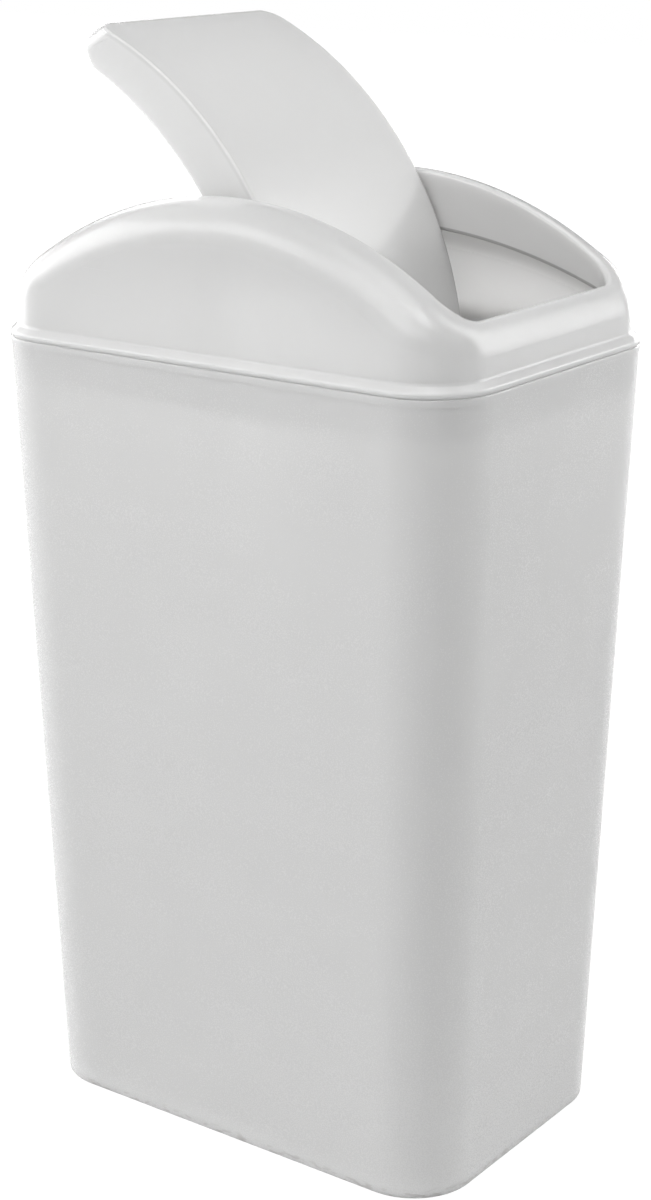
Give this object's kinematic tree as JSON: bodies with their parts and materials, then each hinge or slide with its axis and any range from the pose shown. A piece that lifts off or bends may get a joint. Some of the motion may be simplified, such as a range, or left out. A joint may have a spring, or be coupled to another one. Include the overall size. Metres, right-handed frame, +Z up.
{
  "type": "countertop trash can with swing lid",
  "caption": "Small tapered kitchen bin with rounded corners and a lift-off arched lid whose curved flap swings both ways.",
  "frame": {"origin": "centre of the base, on the surface the bin stands on", "axes": "+Z up, X along the long sides and the flap's swing, Y along the pivot axis from the front long side to the rear one"},
  "size_m": [0.1748, 0.1214, 0.3498],
  "materials": {
    "body": "satin light grey moulded polypropylene",
    "lid": "satin light grey moulded polypropylene",
    "flap": "satin light grey moulded polypropylene",
    "pin": "natural moulded acetal"
  },
  "bodies": {
    "bin": {"bin_body": "body"},
    "lid": {"lid_housing": "lid", "front_pivot_pin": "pin", "rear_pivot_pin": "pin"},
    "flap": {"swing_flap": "flap"}
  },
  "joints": [
    {"name": "lid_lift", "type": "slide", "parent": "bin", "child": "lid", "axis": [0, 0, 1], "range_m": [0, 0.06]},
    {"name": "flap_swing", "type": "hinge", "parent": "lid", "child": "flap", "pos_m": [0, 0, 0.2918], "axis": [0, 1, 0], "range_deg": [-150, 30]}
  ]
}
